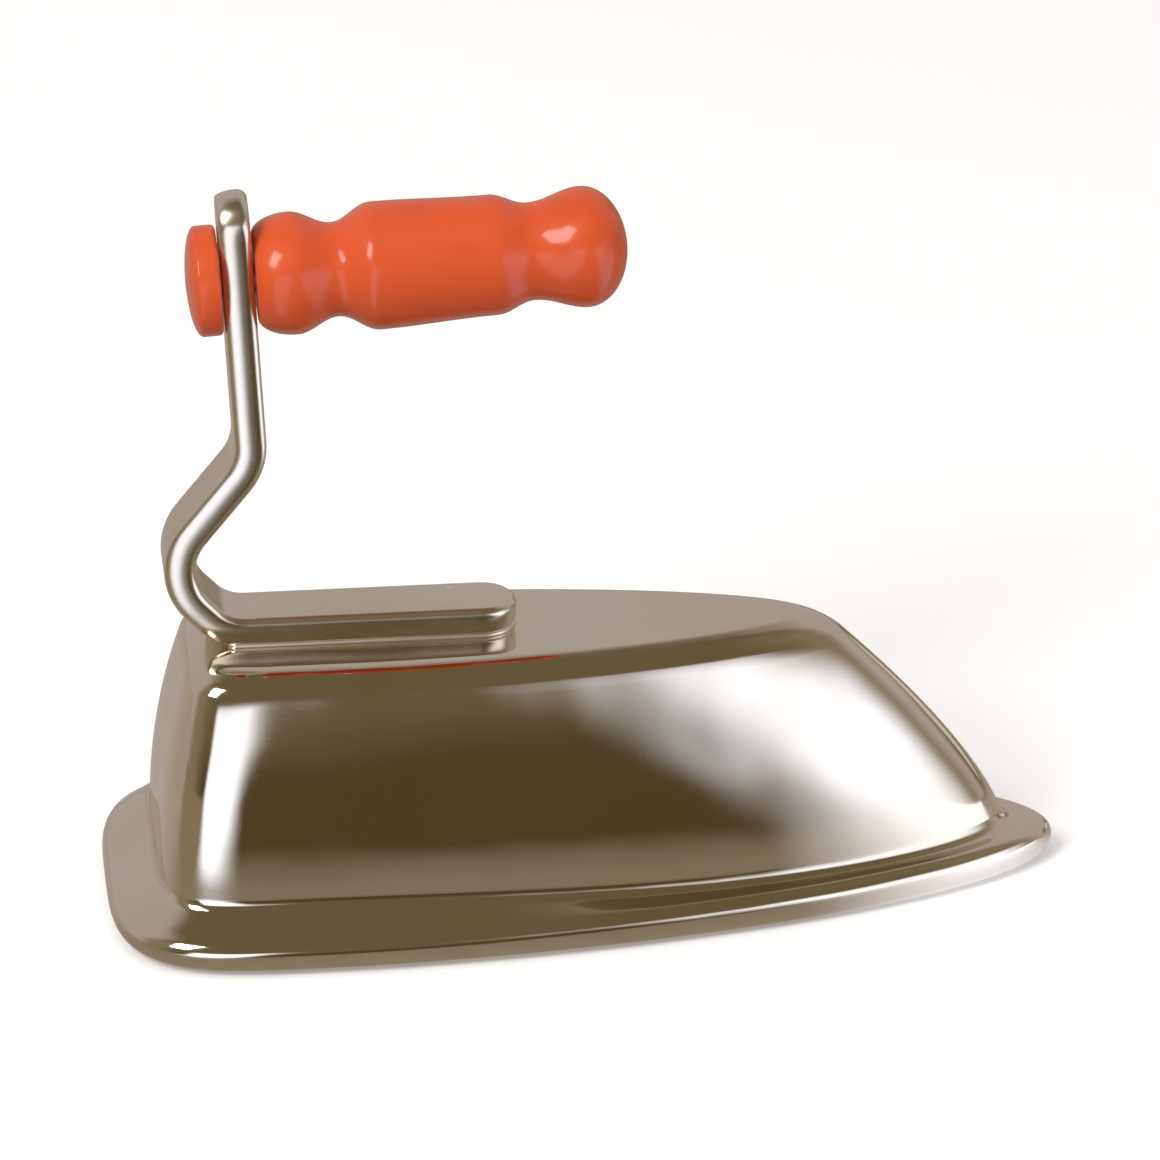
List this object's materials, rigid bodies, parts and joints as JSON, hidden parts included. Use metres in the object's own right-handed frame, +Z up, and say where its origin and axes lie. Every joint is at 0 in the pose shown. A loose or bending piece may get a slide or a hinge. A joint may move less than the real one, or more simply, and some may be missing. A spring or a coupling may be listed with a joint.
{
  "type": "toy iron",
  "caption": "Doll-size toy flat iron: pressed plated body with rolled rim and pointed nose, bent strap, and a turned painted handle that spins on its pin.",
  "frame": {"origin": "on the resting plane, under the middle of the iron's length and width", "axes": "+X to the pointed tip, +Y across the width to the left of the tip, +Z up from the sole to the handle"},
  "size_m": [0.058, 0.0236, 0.0464],
  "materials": {
    "plated_metal": "bright warm nickel plating",
    "sole_metal": "plain plated sheet",
    "coral_paint": "gloss coral paint over turned wood",
    "pin_steel": "drawn wire"
  },
  "bodies": {
    "iron": {"body_shell": "plated_metal", "sole_plate": "sole_metal", "handle_strap": "plated_metal", "front_rivet": "plated_metal", "rear_rivet": "plated_metal"},
    "handle": {"grip": "coral_paint", "end_button": "coral_paint", "handle_pin": "pin_steel"}
  },
  "joints": [
    {"name": "grip_spin", "type": "hinge", "parent": "iron", "child": "handle", "pos_m": [-0.02037, 0, 0.04083], "axis": [0.9985, 0, 0.0541], "continuous": true}
  ]
}
